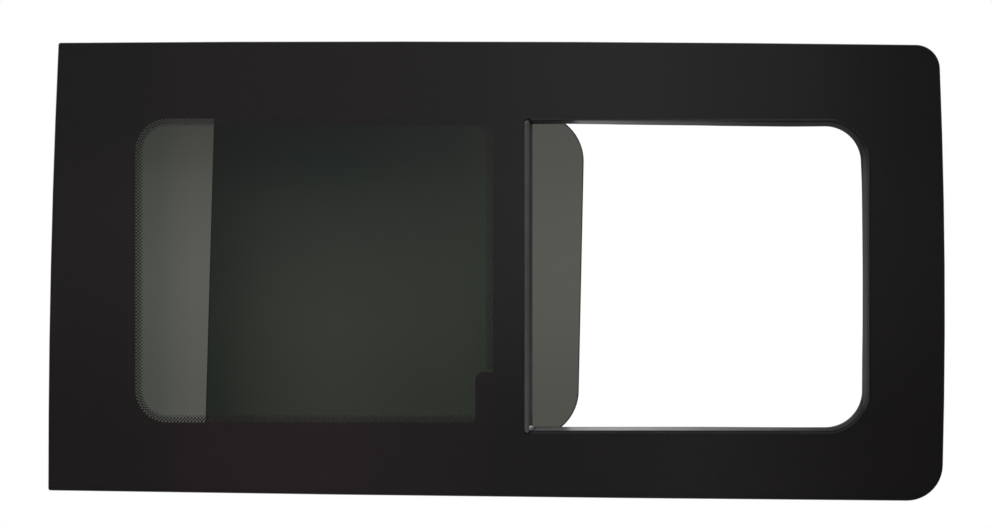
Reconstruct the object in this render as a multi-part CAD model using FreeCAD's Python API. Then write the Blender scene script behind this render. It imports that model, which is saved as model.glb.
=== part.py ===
# Sliding side window for a van: a printed outer pane with a vent opening, and a
# tinted pane that slides behind it in a bent channel frame.
#
# Millimetres, +Z up, +X towards the front end (the vent opening), -Y outdoors.
# The origin lies on the bonding face (y = 0), at half the length of the pane's
# bottom edge and BOND_LINE above its lowest point.

import FreeCAD, Part
from FreeCAD import Vector
import os

# Outer pane: lengths are between corners, before the corners are rounded
GLASS_LENGTH = 1142.5  # along the bottom edge
FRONT_HEIGHT = 583.0  # front end
REAR_RISE = 13.6  # the bottom edge climbs this much to the rear
TOP_RISE = 3.0  # the top edge climbs this much to the rear
REAR_LEAN = 13.1  # the rear end leans forward at its top
FRONT_LEAN = 3.7  # the front end leans back at its top
BOW_TOP = 3.0  # how far each edge swells out at its middle
BOW_BOTTOM = 1.2
BOW_FRONT = 5.6
BOW_REAR = 3.4
CORNER_TOP_FRONT = 31.0
CORNER_BOTTOM_FRONT = 46.0
CORNER_REAR = 3.0
GLASS_THICKNESS = 4.0
ARRIS = 0.8  # ground bevel round the outer edge
PRINT_THICKNESS = 0.2
BOND_LINE = 25.0

# Bands from the glass's corners to the channel frame's daylight, the box between its leg tips
BAND_BOTTOM = 91.0
BAND_TOP = 93.0
BAND_FRONT = 95.25
BAND_REAR = 107.25
CORNER_BEND = 40.0  # radius of the leg tips round the two front corners

# Channel section, all round the frame
BED_THICKNESS = 1.5  # adhesive between print and frame
LEG = 1.8  # wall of both legs
WEB = 1.5  # wall of the channel floor
CHANNEL_WIDTH = 9.8
CHANNEL_DEPTH = 20.0
TIP_CHAMFER = 0.6
FLANGE_REACH = 36.0  # bonded flange, from the leg tips
GROOVE_LIP = 10.0  # lip behind the web, for the van's lining
BED_INSET = 11.5  # adhesive starts this far from the leg tips
BED_EDGE = 2.0  # and stops this far short of the flange
BORDER_GAP = 5.0  # bonding border starts this far outside the flange

# Flocked liner pressed into the channel
LINER_WALL = 1.4
LINER_START = 5.0  # its two ends, ahead of the rear jamb's leg tips
LIP_GAP = 0.35  # lip to sliding pane
LIP_ENTRY = 0.4  # depths in the channel: lip starts, meets the pane, leaves it, joins the wall
LIP_TIP = 1.0
LIP_HEEL = 2.0
LIP_ROOT = 4.0

# Sliding pane, measured at half its height
PANE_THICKNESS = 4.0
PANE_LEAN_FRONT = 9.0  # the ends lean forward at the top
PANE_LEAN_REAR = 11.6
PANE_CORNER_FRONT = 61.0
PANE_CORNER_REAR = 4.0
PANE_EDGE = 0.9  # ground bevel on both faces
HEAD_BITE = 6.0  # pane above the head line
SILL_BITE = 11.0  # pane below the sill line
FRONT_BITE = 10.3  # pane past the front line when shut
REAR_LAP = 37.5  # pane behind the vent's rear side when shut
PARK_ROOM = 34.9  # channel left behind the pane when it is fully open
REST_SHOWING = 63.5  # pane that shows in the vent opening at rest
OPEN_SHOWING = 0.5  # and when it is fully open

# Vent opening, clear edge of its rubber trim
VENT_HEAD_INSET = 10.0  # below the head line
VENT_SILL_INSET = 3.3  # above the sill line
VENT_FRONT_INSET = 5.5  # behind the front line
VENT_CORNER = 47.0
VENT_CORNER_REAR = 4.0  # of the glass, behind the centre seal
TRIM_WIDTH = 9.0
TRIM_FLANGE = 4.0
TRIM_BACK = 1.2
TRIM_LIP = 2.0
TRIM_CROWN = 3.8  # the face is roundest this far from the clear edge
TRIM_CROWN_SINK = 1.8  # and there this far behind the glass's face
TRIM_SHOULDER = 0.4  # the round face ends this far behind the flange
LIP_EASE = 0.5  # chamfer on the lips that meet the pane
SEAL_WIDTH = 9.9
SEAL_BASE = 20.0
SEAL_CROWN = 3.0
SEAL_CROWN_SINK = 1.4
SEAL_SHOULDER = 1.6
SEAL_LIP = 2.0  # wiping lip, from the clear edge
SEAL_LIP_WIDTH = 2.0
SEAL_LIP_FLARE = 1.0  # it widens this much to its root
RUBBER_FIT = 0.1  # rubber to the edge of the hole

# Fixed window: the clear area that the print leaves
VIEW_REAR_INSET = 3.9
VIEW_HEAD_INSET = 1.0
VIEW_SILL_INSET = 9.5
STRIP_WIDTH = 40.3  # print between fixed window and vent glass edge
VIEW_CORNER_REAR = 41.0
VIEW_CORNER_FRONT = 27.0
NOTCH_WIDTH = 22.4  # print that hides the catch
NOTCH_HEIGHT = 64.6
NOTCH_CORNER = 11.0

# What the sliding pane carries
SHOE_LENGTH = 45.0
SHOE_INSET = 34.0  # from the ends of the carrier, and of the straight top edge
SHOE_RAMP = 2.0
RUN_GAP = 0.3  # shoe to liner floor
SIDE_GAP = 0.5  # carrier and guides to liner walls
CARRIER_FLOOR = 1.8
CARRIER_INSET = 14.0
GUIDE_HEIGHT = 5.5
GUIDE_LENGTH = 40.0

# Fittings of the frame
STOP_LENGTH = 20.0
STOP_GAP = 5.5  # stop to pane when it is fully open
CLEAT_LEG = 60.0
CLEAT_WIDTH = 7.0
CLEAT_THICKNESS = 3.0
CLEAT_GAP = 0.5  # cleat to channel web
CLEAT_IN_BEND = 3.0  # part of a joiner that enters the bend
DRAIN_LENGTH = 18.0
DRAIN_WIDTH = 3.5
DRAIN_PITCH = 250.0

# Catch, seen from indoors: plate, housing, thumb slide and bolt
PLATE_WIDTH = 42.0
PLATE_TOP = 68.0  # above the sill line
PLATE_FOOT = 19.0  # below the sill line
PLATE_THICKNESS = 2.6
PLATE_CORNER = 5.0
HOUSING_WIDTH = 36.0
HOUSING_HEIGHT = 54.0
HOUSING_DEPTH = 12.0
HOUSING_FOOT = 9.0  # above the sill line
HOUSING_CORNER = 7.0
HOUSING_DRAFT = 2.0  # each side draws in by this much
HOUSING_EDGE = 1.5
WELL_WIDTH = 20.0
WELL_FLOOR = 3.0
WELL_RIM = 8.0  # housing left above and below the well
THUMB_HEIGHT = 24.0
THUMB_DEPTH = 10.5
THUMB_DROP = 4.0  # below the top of the well
THUMB_GAP = 0.3
THUMB_CORNER = 1.2
THUMB_EDGE = 0.8
GROOVES = 4
GROOVE_PITCH = 4.0
GROOVE_RADIUS = 1.3
GROOVE_DEPTH = 0.9
BOLT_WIDTH = 16.0
BOLT_HEIGHT = 11.0
BOLT_RISE = 35.0  # its middle above the sill line
BOLT_NOSE = 1.6
BOLT_GAP = 0.3
BOLT_SLACK = 1.0  # to the shut pane's rear edge

# For cutting and measuring
OVERCUT = 1.0  # a cutter reaches this far past what it cuts
CLOSE = 0.01  # points nearer than this are one

# Places worked out from the sizes above
sill_z = BAND_BOTTOM - BOND_LINE
head_z = FRONT_HEIGHT - BAND_TOP - BOND_LINE
front_x = GLASS_LENGTH / 2 - BAND_FRONT
rear_x = BAND_REAR - GLASS_LENGTH / 2
bend_x = front_x - CORNER_BEND

# The vent takes half of what is left once the pane's laps and its parking room are taken off
pane_laps = VENT_FRONT_INSET + FRONT_BITE + REAR_LAP
vent_length = (front_x - rear_x - VENT_FRONT_INSET + OPEN_SHOWING - pane_laps - PARK_ROOM) / 2
pane_length = vent_length + pane_laps

vent_front = front_x - VENT_FRONT_INSET
vent_rear = vent_front - vent_length
vent_head = head_z - VENT_HEAD_INSET
vent_sill = sill_z + VENT_SILL_INSET
view_front = vent_rear - SEAL_WIDTH - STRIP_WIDTH
view_rear = rear_x + VIEW_REAR_INSET
view_head = head_z - VIEW_HEAD_INSET
view_sill = sill_z + VIEW_SILL_INSET

glass_back = -PRINT_THICKNESS
glass_face = glass_back - GLASS_THICKNESS
leg_out = BED_THICKNESS
leg_in = BED_THICKNESS + LEG + CHANNEL_WIDTH
frame_back = leg_in + LEG
pane_mid_y = leg_out + LEG + CHANNEL_WIDTH / 2
pane_face = pane_mid_y - PANE_THICKNESS / 2
pane_back = pane_mid_y + PANE_THICKNESS / 2
lip_face = pane_face - LIP_GAP
border_reach = FLANGE_REACH + BORDER_GAP

pane_bottom = sill_z - SILL_BITE
pane_top = head_z + HEAD_BITE
pane_front = vent_rear + REST_SHOWING
pane_rear = pane_front - pane_length
travel_shut = front_x + FRONT_BITE - pane_front
travel_open = vent_rear + OPEN_SHOWING - pane_front
Y = Vector(0, 1, 0)


def at(x, z, y=0.0):
    return Vector(x, y, z)


def write(name, shape):
    """Write one node, and say what it holds."""
    solids = shape.Solids
    for solid in solids:
        if not solid.isValid() or solid.Volume <= 0:
            raise RuntimeError(name + " is not a valid solid")
    shape = solids[0] if len(solids) == 1 else Part.makeCompound(solids)
    shape.exportStep("parts/" + name + ".step")
    box = shape.optimalBoundingBox(True, False)
    print("%-22s %d solids %9.1f mm3  x %7.1f %7.1f  y %6.1f %6.1f  z %6.1f %6.1f" % (
        name, len(solids), shape.Volume, box.XMin, box.XMax,
        box.YMin, box.YMax, box.ZMin, box.ZMax))


def one(shapes):
    """Fuse pieces that are moulded or bent in one."""
    body = shapes[0].multiFuse(shapes[1:]) if len(shapes) > 1 else shapes[0]
    return body.removeSplitter()


def outline(points):
    """Closed wire of straight sides in the XZ plane."""
    corners = [at(*point) for point in points]
    return Part.makePolygon(corners + corners[:1])


def sheet(wire, y0, y1):
    """A flat piece between two depths."""
    face = Part.Face(wire)
    face.translate(Vector(0, y0, 0))
    return face.extrude(Vector(0, y1 - y0, 0))


def stands_at(edge, x, z):
    """Whether an edge runs through the piece's thickness at x, z."""
    return all(abs(v.X - x) < CLOSE and abs(v.Z - z) < CLOSE for v in edge.Vertexes)


def round_corners(solid, corners):
    """Round the edges that run through the piece's thickness, each corner as (x, z, radius)."""
    for x, z, radius in corners:
        solid = solid.makeFillet(radius, [e for e in solid.Edges if stands_at(e, x, z)])
    return solid


def rim_at(solid, y):
    """The edges that lie at one depth."""
    return [e for e in solid.Edges
            if abs(e.BoundBox.YMin - y) < CLOSE and abs(e.BoundBox.YMax - y) < CLOSE]


def panel(x0, x1, z0, z1, y0, y1, rear=0.0, front=0.0):
    """A flat rectangle with rear and front corner radii."""
    solid = sheet(outline([(x0, z0), (x1, z0), (x1, z1), (x0, z1)]), y0, y1)
    corners = [(x0, z0, rear), (x0, z1, rear), (x1, z0, front), (x1, z1, front)]
    return round_corners(solid, [c for c in corners if c[2] > 0])


def section(points, base, outward):
    """A closed section of (u, y) points, u outwards from base; a pair is an arc's middle and end."""
    def place(point):
        return base + outward * point[0] + Y * point[1]

    edges = []
    last = place(points[0])
    for step in points[1:] + points[:1]:
        if isinstance(step[0], tuple):
            end = place(step[1])
            edges.append(Part.Arc(last, place(step[0]), end).toShape())
        else:
            end = place(step)
            edges.append(Part.LineSegment(last, end).toShape())
        last = end
    return Part.Face(Part.Wire(edges))


UP, DOWN = Vector(0, 0, 1), Vector(0, 0, -1)
FORE, AFT = Vector(1, 0, 0), Vector(-1, 0, 0)


def along_head(points, x0, x1, z):
    return section(points, at(x0, z), UP).extrude(Vector(x1 - x0, 0, 0))


def along_sill(points, x0, x1, z):
    return section(points, at(x0, z), DOWN).extrude(Vector(x1 - x0, 0, 0))


def along_front(points, z0, z1, x):
    return section(points, at(x, z0), FORE).extrude(Vector(0, 0, z1 - z0))


def along_rear(points, z0, z1, x):
    return section(points, at(x, z0), AFT).extrude(Vector(0, 0, z1 - z0))


def head_bend(points, x, z, radius):
    """Quarter turn from the head to the front; x, z are the lines that the section's u starts from."""
    centre = at(x - radius, z - radius)
    return section(points, centre + UP * radius, UP).revolve(centre, Y, 90)


def sill_bend(points, x, z, radius):
    centre = at(x - radius, z + radius)
    return section(points, centre + FORE * radius, FORE).revolve(centre, Y, 90)


# Outer pane and its print

def bowed_side(a, b, bow):
    """Centre and radius of the arc that swells out by bow between two corners, walked anticlockwise."""
    along = b - a
    radius = (along.Length / 2) ** 2 / (2 * bow) + bow / 2
    inward = Vector(-along.z, 0, along.x).normalize()
    return a + along / 2 + inward * (radius - bow), radius


def meeting(side, other, inset, near):
    """Point at which two sides, both moved in by inset, cross."""
    (c0, r0), (c1, r1) = side, other
    r0, r1 = r0 - inset, r1 - inset
    gap = (c1 - c0).Length
    along = (r0 ** 2 - r1 ** 2 + gap ** 2) / (2 * gap)
    height = max(r0 ** 2 - along ** 2, 0) ** 0.5
    axis = (c1 - c0) / gap
    across = Vector(-axis.z, 0, axis.x)
    foot = c0 + axis * along
    return min((foot + across * height, foot - across * height), key=lambda p: (p - near).Length)


def glass_blank(y0, y1):
    """The pane's outline: four swelling edges joined by round corners."""
    half = GLASS_LENGTH / 2
    low, high = -BOND_LINE, FRONT_HEIGHT - BOND_LINE
    spots = [at(-half, low + REAR_RISE), at(half, low),
             at(half - FRONT_LEAN, high), at(-half + REAR_LEAN, high + TOP_RISE)]
    bows = [BOW_BOTTOM, BOW_FRONT, BOW_TOP, BOW_REAR]
    radii = [CORNER_REAR, CORNER_BOTTOM_FRONT, CORNER_TOP_FRONT, CORNER_REAR]
    sides = [bowed_side(spots[i], spots[(i + 1) % 4], bows[i]) for i in range(4)]
    edges, leave = [], []
    for i, radius in enumerate(radii):
        before, after = sides[i - 1], sides[i]
        hub = meeting(before, after, radius, spots[i])
        ends = [centre + (hub - centre).normalize() * size for centre, size in (before, after)]
        outward = (ends[0] + ends[1]) / 2 - hub
        edges.append(Part.Arc(ends[0], hub + outward.normalize() * radius, ends[1]).toShape())
        leave.append(ends)
    for i, (centre, size) in enumerate(sides):
        a, b = leave[i][1], leave[(i + 1) % 4][0]
        middle = centre + ((a + b) / 2 - centre).normalize() * size
        edges.append(Part.Arc(a, middle, b).toShape())
    return sheet(Part.Wire(Part.sortEdges(edges)[0]), y0, y1)


def vent_hole(y0, y1):
    """The hole in glass and print, which the trim and the centre seal line."""
    rim = TRIM_WIDTH + RUBBER_FIT
    x0 = vent_rear - SEAL_WIDTH - RUBBER_FIT
    z0, z1 = vent_sill - rim, vent_head + rim
    hole = panel(x0, vent_front + rim, z0, z1, y0, y1, front=VENT_CORNER + rim)
    return round_corners(hole, [(x0, z0, VENT_CORNER_REAR), (x0, z1, VENT_CORNER_REAR)])


def outer_glass():
    blank = glass_blank(glass_face, glass_back)
    blank = blank.makeChamfer(ARRIS, rim_at(blank, glass_face))
    return blank.cut(vent_hole(glass_face - OVERCUT, glass_back + OVERCUT))


def footprint(reach, y0, y1):
    """What lies within a reach of the frame's leg tips: square corners behind, bends in front."""
    return panel(rear_x - reach, front_x + reach, sill_z - reach, head_z + reach,
                 y0, y1, front=CORNER_BEND + reach)


def bonding_border():
    ring = glass_blank(glass_back, 0.0)
    return ring.cut(footprint(border_reach, glass_back - OVERCUT, OVERCUT))


def view_area(y0, y1):
    """The clear fixed window: rounded, with a step at its foot where the print hides the catch."""
    clear = panel(view_rear, view_front, view_sill, view_head, y0, y1,
                  rear=VIEW_CORNER_REAR, front=VIEW_CORNER_FRONT)
    step_x, step_z = view_front - NOTCH_WIDTH, view_sill + NOTCH_HEIGHT
    step = panel(step_x, view_front + OVERCUT, view_sill - OVERCUT, step_z, y0, y1)
    return clear.cut(round_corners(step, [(step_x, step_z, NOTCH_CORNER)]))


def window_mask():
    mask = footprint(border_reach, glass_back, 0.0)
    mask = mask.cut(vent_hole(glass_back - OVERCUT, OVERCUT))
    return mask.cut(view_area(glass_back - OVERCUT, OVERCUT))


# Rubber round the vent opening

def trim_section():
    return [
        (TRIM_WIDTH, glass_face),
        ((TRIM_CROWN, glass_face + TRIM_CROWN_SINK), (0.0, TRIM_BACK + TRIM_SHOULDER)),
        (0.0, lip_face - LIP_EASE),
        (LIP_EASE, lip_face),
        (TRIM_LIP - LIP_EASE, lip_face),
        (TRIM_LIP, lip_face - LIP_EASE),
        (TRIM_LIP, TRIM_BACK),
        (TRIM_WIDTH + TRIM_FLANGE, TRIM_BACK),
        (TRIM_WIDTH + TRIM_FLANGE, 0.0),
        (TRIM_WIDTH, 0.0),
    ]


def opening_trim():
    points = trim_section()
    turn_x = vent_front - VENT_CORNER
    return one([
        along_head(points, vent_rear, turn_x, vent_head),
        head_bend(points, vent_front, vent_head, VENT_CORNER),
        along_front(points, vent_sill + VENT_CORNER, vent_head - VENT_CORNER, vent_front),
        sill_bend(points, vent_front, vent_sill, VENT_CORNER),
        along_sill(points, vent_rear, turn_x, vent_sill),
    ])


def centre_seal():
    """Upright bead on the vent's rear side, with a base behind the print and a lip on the pane."""
    points = [
        (SEAL_WIDTH, glass_face),
        ((SEAL_CROWN, glass_face + SEAL_CROWN_SINK), (0.0, TRIM_BACK + SEAL_SHOULDER)),
        (SEAL_LIP - LIP_EASE, lip_face - LIP_EASE),
        (SEAL_LIP, lip_face),
        (SEAL_LIP + SEAL_LIP_WIDTH, lip_face),
        (SEAL_LIP + SEAL_LIP_WIDTH + SEAL_LIP_FLARE, TRIM_BACK),
        (SEAL_WIDTH + SEAL_BASE, TRIM_BACK),
        (SEAL_WIDTH + SEAL_BASE, 0.0),
        (SEAL_WIDTH, 0.0),
    ]
    z0, z1 = vent_sill - TRIM_WIDTH, vent_head + TRIM_WIDTH
    seal = along_rear(points, z0, z1, vent_rear)
    base_x = vent_rear - SEAL_WIDTH - SEAL_BASE
    in_hole = vent_hole(glass_face - OVERCUT, 0.0)
    base = panel(base_x, vent_rear, z0, z1, 0.0, TRIM_BACK)
    lip_z0 = max(z0, sill_z + LIP_GAP)
    lip_z1 = min(z1, head_z - LIP_GAP)
    lip = panel(base_x, vent_rear, lip_z0, lip_z1, TRIM_BACK, frame_back)
    return one([seal.common(piece) for piece in (in_hole, base, lip)])


# Channel frame

def channel_section():
    """h-shaped extrusion: bonded flange, run channel, and a groove behind it for the lining."""
    tip = TIP_CHAMFER
    return [
        (tip, leg_out),
        (FLANGE_REACH, leg_out),
        (FLANGE_REACH, leg_out + LEG),
        (CHANNEL_DEPTH + WEB, leg_out + LEG),
        (CHANNEL_DEPTH + WEB, leg_in),
        (CHANNEL_DEPTH + WEB + GROOVE_LIP, leg_in),
        (CHANNEL_DEPTH + WEB + GROOVE_LIP, frame_back),
        (tip, frame_back),
        (0.0, frame_back - tip),
        (0.0, leg_in + tip),
        (tip, leg_in),
        (CHANNEL_DEPTH, leg_in),
        (CHANNEL_DEPTH, leg_out + LEG),
        (tip, leg_out + LEG),
        (0.0, leg_out + LEG - tip),
        (0.0, leg_out + tip),
    ]


def mitred(solid, side):
    """Keep what lies on one side of the rear corners' mitres."""
    reach = FLANGE_REACH + OVERCUT
    head, sill = (rear_x, head_z), (rear_x, sill_z)
    head_tip, sill_tip = (rear_x - reach, head_z + reach), (rear_x - reach, sill_z - reach)
    keep = {
        "rear": [sill, head, head_tip, sill_tip],
        "head": [head, head_tip, (bend_x, head_z + reach), (bend_x, head_z)],
        "sill": [sill, sill_tip, (bend_x, sill_z - reach), (bend_x, sill_z)],
    }
    return solid.common(sheet(outline(keep[side]), leg_out - OVERCUT, frame_back + OVERCUT))


def drain_places():
    count = int((bend_x - rear_x - DRAIN_PITCH / 2) // DRAIN_PITCH) + 1
    middle = (bend_x + rear_x) / 2
    return [middle + (i - (count - 1) / 2) * DRAIN_PITCH for i in range(count)]


def drains():
    """Cutters for the slots through channel floor and liner along the sill."""
    floor = sill_z - CHANNEL_DEPTH
    low, high = floor - WEB - OVERCUT, floor + LINER_WALL + OVERCUT
    y0, y1 = pane_mid_y - DRAIN_WIDTH / 2, pane_mid_y + DRAIN_WIDTH / 2
    slots = [panel(x - DRAIN_LENGTH / 2, x + DRAIN_LENGTH / 2, low, high, y0, y1) for x in drain_places()]
    return Part.makeCompound(slots)


def top_rail():
    rail = along_head(channel_section(), rear_x - FLANGE_REACH, bend_x, head_z)
    return mitred(rail, "head")


def bottom_rail():
    rail = along_sill(channel_section(), rear_x - FLANGE_REACH, bend_x, sill_z)
    return mitred(rail, "sill").cut(drains())


def rear_jamb():
    jamb = along_rear(channel_section(), sill_z - FLANGE_REACH, head_z + FLANGE_REACH, rear_x)
    return mitred(jamb, "rear")


def front_jamb():
    return along_front(channel_section(), sill_z + CORNER_BEND, head_z - CORNER_BEND, front_x)


def liner_section():
    wall_out, wall_in = leg_out + LEG, leg_in
    return [
        (LIP_ENTRY, wall_out),
        (LIP_TIP, lip_face),
        (LIP_HEEL, lip_face),
        (LIP_ROOT, wall_out + LINER_WALL),
        (CHANNEL_DEPTH - LINER_WALL, wall_out + LINER_WALL),
        (CHANNEL_DEPTH - LINER_WALL, wall_in - LINER_WALL),
        (LIP_ROOT, wall_in - LINER_WALL),
        (LIP_HEEL, pane_back + LIP_GAP),
        (LIP_TIP, pane_back + LIP_GAP),
        (LIP_ENTRY, wall_in),
        (CHANNEL_DEPTH, wall_in),
        (CHANNEL_DEPTH, wall_out),
    ]


def channel_liner():
    """One length of flocked rubber, pressed in along head, front and sill."""
    points = liner_section()
    start = rear_x + LINER_START
    liner = one([
        along_head(points, start, bend_x, head_z),
        head_bend(points, front_x, head_z, CORNER_BEND),
        along_front(points, sill_z + CORNER_BEND, head_z - CORNER_BEND, front_x),
        sill_bend(points, front_x, sill_z, CORNER_BEND),
        along_sill(points, start, bend_x, sill_z),
    ])
    return liner.cut(drains())


def adhesive_bed():
    """Continuous bead between print and flange."""
    bead = footprint(FLANGE_REACH - BED_EDGE, 0.0, BED_THICKNESS)
    return bead.cut(footprint(BED_INSET, -OVERCUT, BED_THICKNESS + OVERCUT))


# Ties in the lining groove, which lies between flange and web

cleat_near = CHANNEL_DEPTH + WEB + CLEAT_GAP
cleat_far = cleat_near + CLEAT_WIDTH
cleat_face = leg_out + LEG
cleat_back = cleat_face + CLEAT_THICKNESS


def rear_cleat(line, side):
    """Angle that ties a rear mitre together, with side 1 at the head and -1 at the sill."""
    points = [
        (rear_x - cleat_far, line + side * cleat_far),
        (rear_x - cleat_far + CLEAT_LEG, line + side * cleat_far),
        (rear_x - cleat_far + CLEAT_LEG, line + side * cleat_near),
        (rear_x - cleat_near, line + side * cleat_near),
        (rear_x - cleat_near, line + side * (cleat_far - CLEAT_LEG)),
        (rear_x - cleat_far, line + side * (cleat_far - CLEAT_LEG)),
    ]
    return sheet(outline(points), cleat_face, cleat_back)


def rail_joiners():
    """Flat strips across the butt joints of the two bends."""
    strips = []
    for line, side in ((head_z, 1), (sill_z, -1)):
        z0, z1 = sorted((line + side * cleat_near, line + side * cleat_far))
        strips.append(panel(bend_x - CLEAT_LEG, bend_x + CLEAT_IN_BEND, z0, z1, cleat_face, cleat_back))
        joint = line - side * CORNER_BEND
        z0, z1 = sorted((joint + side * CLEAT_IN_BEND, joint - side * CLEAT_LEG))
        strips.append(panel(front_x + cleat_near, front_x + cleat_far, z0, z1, cleat_face, cleat_back))
    return Part.makeCompound(strips)


def open_stop(line, side):
    """Rubber block in the channel that ends the travel when the window is fully open."""
    end = pane_rear + side * PANE_LEAN_REAR / 2 + travel_open - STOP_GAP
    z0, z1 = sorted((line + side * (LIP_ROOT + RUN_GAP), line + side * (CHANNEL_DEPTH - LINER_WALL)))
    inner = leg_out + LEG + LINER_WALL
    return panel(end - STOP_LENGTH, end, z0, z1, inner, leg_in - LINER_WALL)


# Catch on the sill rail, behind the step in the print

def shut_rear_edge(z):
    """Where the sliding pane's rear edge stands at height z when it is shut."""
    share = (z - pane_bottom) / (pane_top - pane_bottom) - 0.5
    return pane_rear + travel_shut + share * PANE_LEAN_REAR


bolt_front = shut_rear_edge(sill_z + BOLT_RISE - BOLT_HEIGHT / 2) - BOLT_SLACK
catch_x = bolt_front - BOLT_WIDTH / 2
housing_y = frame_back + PLATE_THICKNESS
housing_back = housing_y + HOUSING_DEPTH
well_low = sill_z + HOUSING_FOOT + WELL_RIM
well_high = sill_z + HOUSING_FOOT + HOUSING_HEIGHT - WELL_RIM


def upright(width, z0, z1, y0, y1, corner=0.0):
    """A block centred on the catch."""
    return panel(catch_x - width / 2, catch_x + width / 2, z0, z1, y0, y1, rear=corner, front=corner)


def bolt_way(y0, y1):
    """Slot that the bolt moves through, in plate and housing."""
    middle = sill_z + BOLT_RISE
    half = BOLT_HEIGHT / 2 + BOLT_GAP
    return upright(BOLT_WIDTH + 2 * BOLT_GAP, middle - half, middle + half, y0, y1)


def catch_plate():
    plate = upright(PLATE_WIDTH, sill_z - PLATE_FOOT, sill_z + PLATE_TOP,
                    frame_back, housing_y, corner=PLATE_CORNER)
    return plate.cut(bolt_way(frame_back - OVERCUT, housing_y + OVERCUT))


def ring_at(width, z0, z1, corner, y):
    """Rounded rectangle, centred on the catch, at one depth."""
    block = upright(width, z0, z1, y, y + OVERCUT, corner=corner)
    face = min(block.Faces, key=lambda f: f.CenterOfMass.y)
    return face.OuterWire


def catch_housing():
    """Moulding that draws in towards the room, with a well for the thumb slide."""
    z0, z1 = sill_z + HOUSING_FOOT, sill_z + HOUSING_FOOT + HOUSING_HEIGHT
    draft = HOUSING_DRAFT
    foot = ring_at(HOUSING_WIDTH, z0, z1, HOUSING_CORNER, housing_y)
    crown = ring_at(HOUSING_WIDTH - 2 * draft, z0 + draft, z1 - draft, HOUSING_CORNER - draft, housing_back)
    body = Part.makeLoft([foot, crown], True, True)
    body = body.makeChamfer(HOUSING_EDGE, rim_at(body, housing_back))
    well_floor = housing_y + WELL_FLOOR
    well = upright(WELL_WIDTH, well_low, well_high, well_floor, housing_back + OVERCUT, corner=THUMB_CORNER)
    return body.cut(well).cut(bolt_way(housing_y - OVERCUT, well_floor + OVERCUT))


def thumb_slide():
    """Slide in the well, with grooves across it for the thumb."""
    y0 = housing_y + WELL_FLOOR + THUMB_GAP
    y1 = y0 + THUMB_DEPTH
    z1 = well_high - THUMB_DROP
    slide = upright(WELL_WIDTH - 2 * THUMB_GAP, z1 - THUMB_HEIGHT, z1, y0, y1, corner=THUMB_CORNER)
    slide = slide.makeChamfer(THUMB_EDGE, rim_at(slide, y1))
    middle = z1 - THUMB_HEIGHT / 2
    for i in range(GROOVES):
        z = middle + (i - (GROOVES - 1) / 2) * GROOVE_PITCH
        start = at(catch_x - WELL_WIDTH / 2, z, y1 + GROOVE_RADIUS - GROOVE_DEPTH)
        slide = slide.cut(Part.makeCylinder(GROOVE_RADIUS, WELL_WIDTH, start, FORE))
    return slide


def catch_bolt():
    """Bolt drawn back out of the pane's way, its nose ramped on both sides."""
    y0, y1 = frame_back + BOLT_GAP, housing_y + WELL_FLOOR
    middle = sill_z + BOLT_RISE
    left, right = catch_x - BOLT_WIDTH / 2, catch_x + BOLT_WIDTH / 2
    profile = [(left, y1), (left, y0 + BOLT_NOSE), (left + BOLT_NOSE, y0),
               (right - BOLT_NOSE, y0), (right, y0 + BOLT_NOSE), (right, y1)]
    corners = [at(x, middle - BOLT_HEIGHT / 2, y) for x, y in profile]
    face = Part.Face(Part.makePolygon(corners + corners[:1]))
    return face.extrude(UP * BOLT_HEIGHT)


# Sliding pane and what it carries

def sliding_glass():
    front, rear = PANE_LEAN_FRONT / 2, PANE_LEAN_REAR / 2
    corners = [
        (pane_rear - rear, pane_bottom), (pane_front - front, pane_bottom),
        (pane_front + front, pane_top), (pane_rear + rear, pane_top)]
    pane = sheet(outline(corners), pane_face, pane_back)
    radii = [PANE_CORNER_REAR, PANE_CORNER_FRONT, PANE_CORNER_FRONT, PANE_CORNER_REAR]
    pane = round_corners(pane, [(*c, r) for c, r in zip(corners, radii)])
    return pane.makeChamfer(PANE_EDGE, rim_at(pane, pane_face) + rim_at(pane, pane_back))


carrier_rear = pane_rear - PANE_LEAN_REAR / 2 + CARRIER_INSET
carrier_front = pane_front - PANE_LEAN_FRONT / 2 - PANE_CORNER_FRONT - CARRIER_INSET
carrier_face = leg_out + LEG + LINER_WALL + SIDE_GAP
carrier_back = leg_in - LINER_WALL - SIDE_GAP
carrier_bottom = pane_bottom - CARRIER_FLOOR
carrier_top = sill_z - LIP_ROOT - RUN_GAP
guide_foot = head_z + LIP_ROOT + RUN_GAP


def pane_carrier():
    """U-shaped profile bonded along the pane's bottom edge."""
    solid = panel(carrier_rear, carrier_front, carrier_bottom, carrier_top, carrier_face, carrier_back)
    slot = panel(carrier_rear - OVERCUT, carrier_front + OVERCUT, pane_bottom, carrier_top + OVERCUT,
                 pane_face, pane_back)
    return solid.cut(slot)


def bottom_shoe(rear):
    """Glide under the carrier, with both ends ramped like a ski."""
    x0 = carrier_rear + SHOE_INSET if rear else carrier_front - SHOE_INSET - SHOE_LENGTH
    x1 = x0 + SHOE_LENGTH
    floor = sill_z - CHANNEL_DEPTH + LINER_WALL + RUN_GAP
    profile = [(x0, carrier_bottom), (x0, floor + SHOE_RAMP), (x0 + SHOE_RAMP, floor),
               (x1 - SHOE_RAMP, floor), (x1, floor + SHOE_RAMP), (x1, carrier_bottom)]
    return sheet(outline(profile), carrier_face, carrier_back)


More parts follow.
